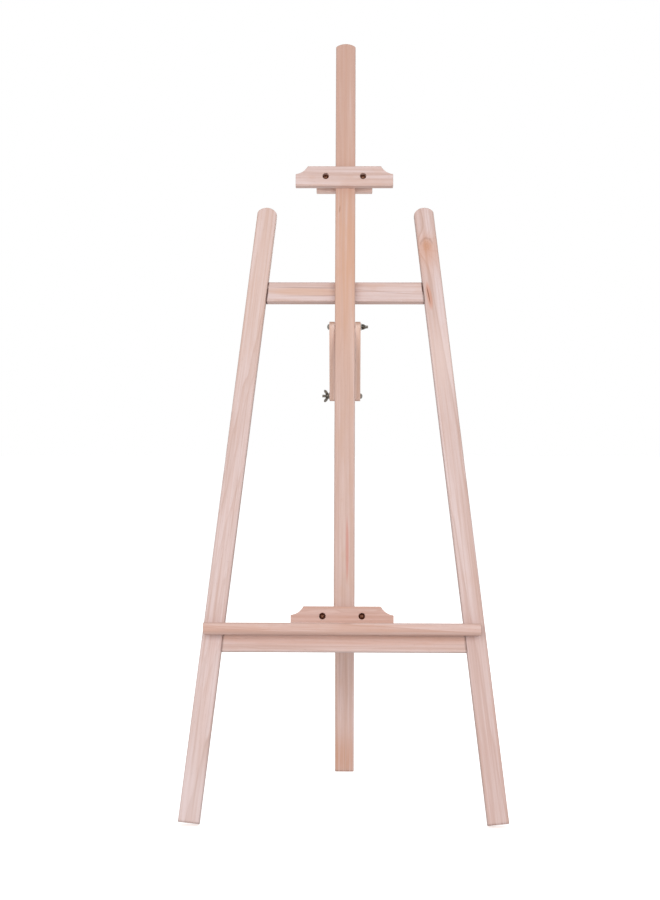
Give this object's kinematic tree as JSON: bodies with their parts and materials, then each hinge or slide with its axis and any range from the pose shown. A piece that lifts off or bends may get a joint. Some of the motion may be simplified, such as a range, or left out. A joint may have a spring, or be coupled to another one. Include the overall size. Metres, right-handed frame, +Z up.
{
  "type": "artist easel",
  "caption": "Pine artist's easel: two splayed front legs, crossbars, a central mast with a sliding holder and tray ledge, and a rear leg that folds on a bolted link.",
  "frame": {"origin": "middle of the footprint on the floor, under the easel", "axes": "+X to the right as seen from the front, +Y backwards from the canvas side to the rear leg, +Z up"},
  "size_m": [0.5928, 0.4348, 1.4794],
  "materials": {
    "pine_legs": "planed bare pine, pale pinkish",
    "pine_mast": "planed bare pine, slightly warmer",
    "pine_plates": "planed bare pine, sanded edges",
    "dowel_wood": "turned beech",
    "zinc_steel": "zinc plated",
    "dark_steel": "dark oxide"
  },
  "bodies": {
    "front_frame": {"left_front_leg": "pine_legs", "upper_crossbar_screw_left": "zinc_steel", "upper_crossbar_dowel_left": "dowel_wood", "lower_crossbar_screw_left": "zinc_steel", "lower_crossbar_dowel_left": "dowel_wood", "right_front_leg": "pine_legs", "upper_crossbar_screw_right": "zinc_steel", "upper_crossbar_dowel_right": "dowel_wood", "lower_crossbar_screw_right": "zinc_steel", "lower_crossbar_dowel_right": "dowel_wood", "upper_crossbar": "pine_mast", "lower_crossbar": "pine_legs", "mast": "pine_mast", "lower_mast_screw_left": "zinc_steel", "lower_mast_screw_right": "zinc_steel", "upper_mast_screw_left": "zinc_steel", "upper_mast_screw_right": "zinc_steel"},
    "link": {"left_link_cheek": "pine_mast", "right_link_cheek": "pine_mast", "upper_pivot_bolt": "zinc_steel", "upper_pivot_washer": "zinc_steel", "lower_pivot_bolt": "zinc_steel", "lower_pivot_washer": "zinc_steel"},
    "rear_leg": {"rear_leg": "pine_legs"},
    "top_holder": {"top_holder_front_plate": "pine_plates", "top_holder_back_plate": "pine_plates", "top_holder_bolt_left": "zinc_steel", "top_holder_bolt_right": "zinc_steel", "top_holder_washer_left": "zinc_steel", "top_holder_washer_right": "zinc_steel"},
    "tray": {"tray_ledge": "pine_plates", "tray_front_plate": "pine_plates", "tray_back_plate": "pine_plates", "tray_bolt_left": "zinc_steel", "tray_bolt_right": "zinc_steel", "tray_washer_left": "zinc_steel", "tray_washer_right": "zinc_steel", "ledge_screw_left": "zinc_steel", "ledge_screw_middle": "zinc_steel", "ledge_screw_right": "zinc_steel"},
    "upper_pivot_wing_nut": {"upper_pivot_wing_nut": "dark_steel"},
    "lower_pivot_wing_nut": {"lower_pivot_wing_nut": "dark_steel"},
    "top_holder_wing_nut_left": {"top_holder_wing_nut_left": "dark_steel"},
    "top_holder_wing_nut_right": {"top_holder_wing_nut_right": "dark_steel"},
    "tray_wing_nut_left": {"tray_wing_nut_left": "dark_steel"},
    "tray_wing_nut_right": {"tray_wing_nut_right": "dark_steel"}
  },
  "joints": [
    {"name": "link_swing", "type": "hinge", "parent": "front_frame", "child": "link", "pos_m": [0, -0.00228, 0.90932], "axis": [1, 0, 0], "range_deg": [-18.2, 0]},
    {"name": "rear_leg_swing", "type": "hinge", "parent": "link", "child": "rear_leg", "pos_m": [0, 0.05333, 0.77736], "axis": [1, 0, 0], "range_deg": [-3.3, 0]},
    {"name": "top_holder_slide", "type": "slide", "parent": "front_frame", "child": "top_holder", "axis": [0, 0.1762, 0.9844], "range_m": [-0.178, 0.25]},
    {"name": "tray_slide", "type": "slide", "parent": "front_frame", "child": "tray", "axis": [0, 0.1762, 0.9844], "range_m": [0, 0.38]},
    {"name": "upper_pivot_wing_nut_turn", "type": "hinge", "parent": "link", "child": "upper_pivot_wing_nut", "pos_m": [0.0321, -0.00228, 0.90932], "axis": [1, 0, 0], "range_deg": [0, 360]},
    {"name": "lower_pivot_wing_nut_turn", "type": "hinge", "parent": "link", "child": "lower_pivot_wing_nut", "pos_m": [-0.0321, 0.05333, 0.77736], "axis": [-1, 0, 0], "range_deg": [0, 360]},
    {"name": "top_holder_wing_nut_left_turn", "type": "hinge", "parent": "top_holder", "child": "top_holder_wing_nut_left", "pos_m": [-0.0384, 0.07374, 1.19662], "axis": [0, 0.9844, -0.1762], "range_deg": [0, 360]},
    {"name": "top_holder_wing_nut_right_turn", "type": "hinge", "parent": "top_holder", "child": "top_holder_wing_nut_right", "pos_m": [0.0344, 0.07374, 1.19662], "axis": [0, 0.9844, -0.1762], "range_deg": [0, 360]},
    {"name": "tray_wing_nut_left_turn", "type": "hinge", "parent": "tray", "child": "tray_wing_nut_left", "pos_m": [-0.0399, -0.07658, 0.35697], "axis": [0, 0.9844, -0.1762], "range_deg": [0, 360]},
    {"name": "tray_wing_nut_right_turn", "type": "hinge", "parent": "tray", "child": "tray_wing_nut_right", "pos_m": [0.0329, -0.07658, 0.35697], "axis": [0, 0.9844, -0.1762], "range_deg": [0, 360]}
  ],
  "couplings": [
    {"joint": "rear_leg_swing", "follows": "link_swing", "ratio": 0.1758}
  ]
}
